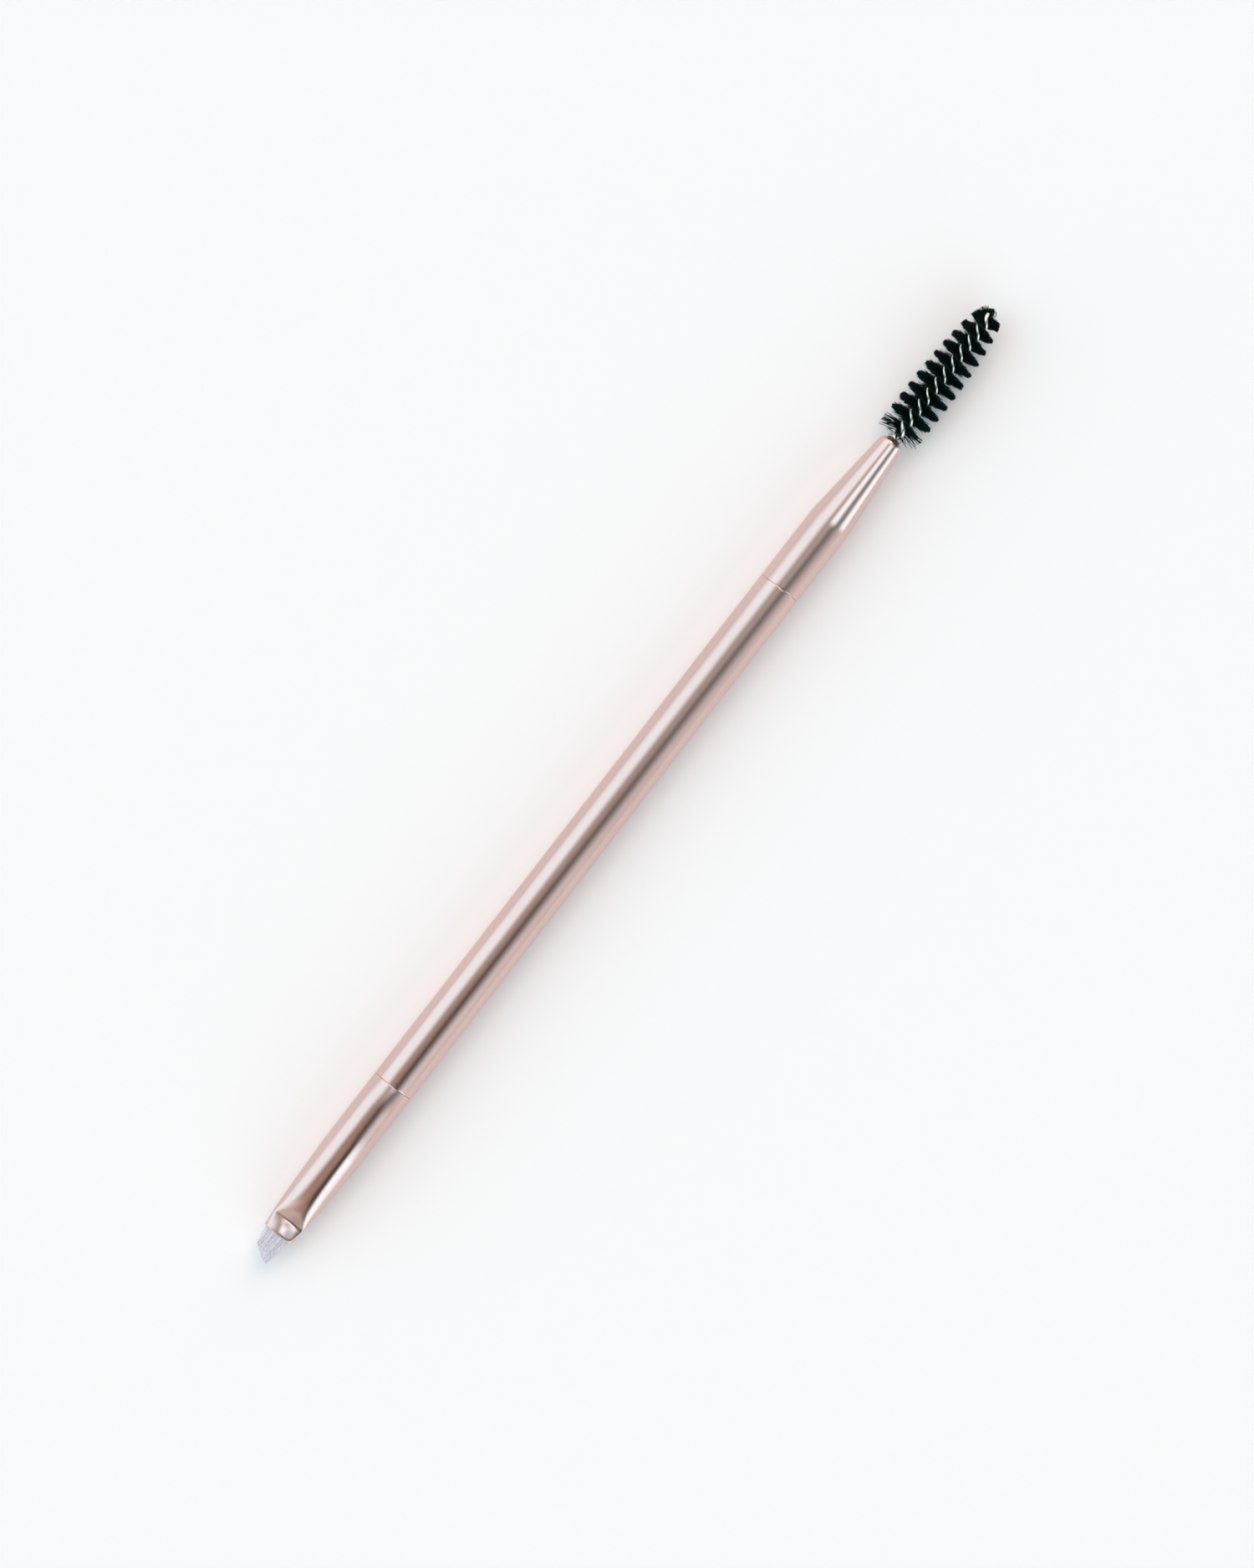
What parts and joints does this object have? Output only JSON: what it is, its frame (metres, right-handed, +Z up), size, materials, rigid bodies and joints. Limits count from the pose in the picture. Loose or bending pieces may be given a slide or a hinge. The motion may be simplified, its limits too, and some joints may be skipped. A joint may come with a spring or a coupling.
{
  "type": "eyebrow brush",
  "caption": "Double-ended eyebrow brush: a slim round metal handle with a flat angled brow brush at one end and a tapered twisted-wire spoolie at the other.",
  "frame": {"origin": "on the surface that the brush lies on, under the middle of its whole length and its axis", "axes": "+X along the handle towards the spoolie's tip, +Y towards the brow brush's short corner, +Z up"},
  "size_m": [0.16, 0.0062, 0.0061],
  "materials": {
    "rose_metal": "satin anodised, fine grain",
    "plug_plastic": "moulded",
    "epoxy": "cast resin",
    "pale_filament": "fine synthetic filaments",
    "steel_wire": "bright drawn wire",
    "dark_filament": "stiff nylon filaments"
  },
  "bodies": {
    "root": {"handle_tube": "rose_metal", "brow_ferrule": "rose_metal", "brow_plug": "plug_plastic", "brow_epoxy": "epoxy", "brow_bristles": "pale_filament", "spoolie_ferrule": "rose_metal", "spoolie_plug": "plug_plastic", "spoolie_wire": "steel_wire", "spoolie_bristles": "dark_filament"}
  },
  "joints": []
}
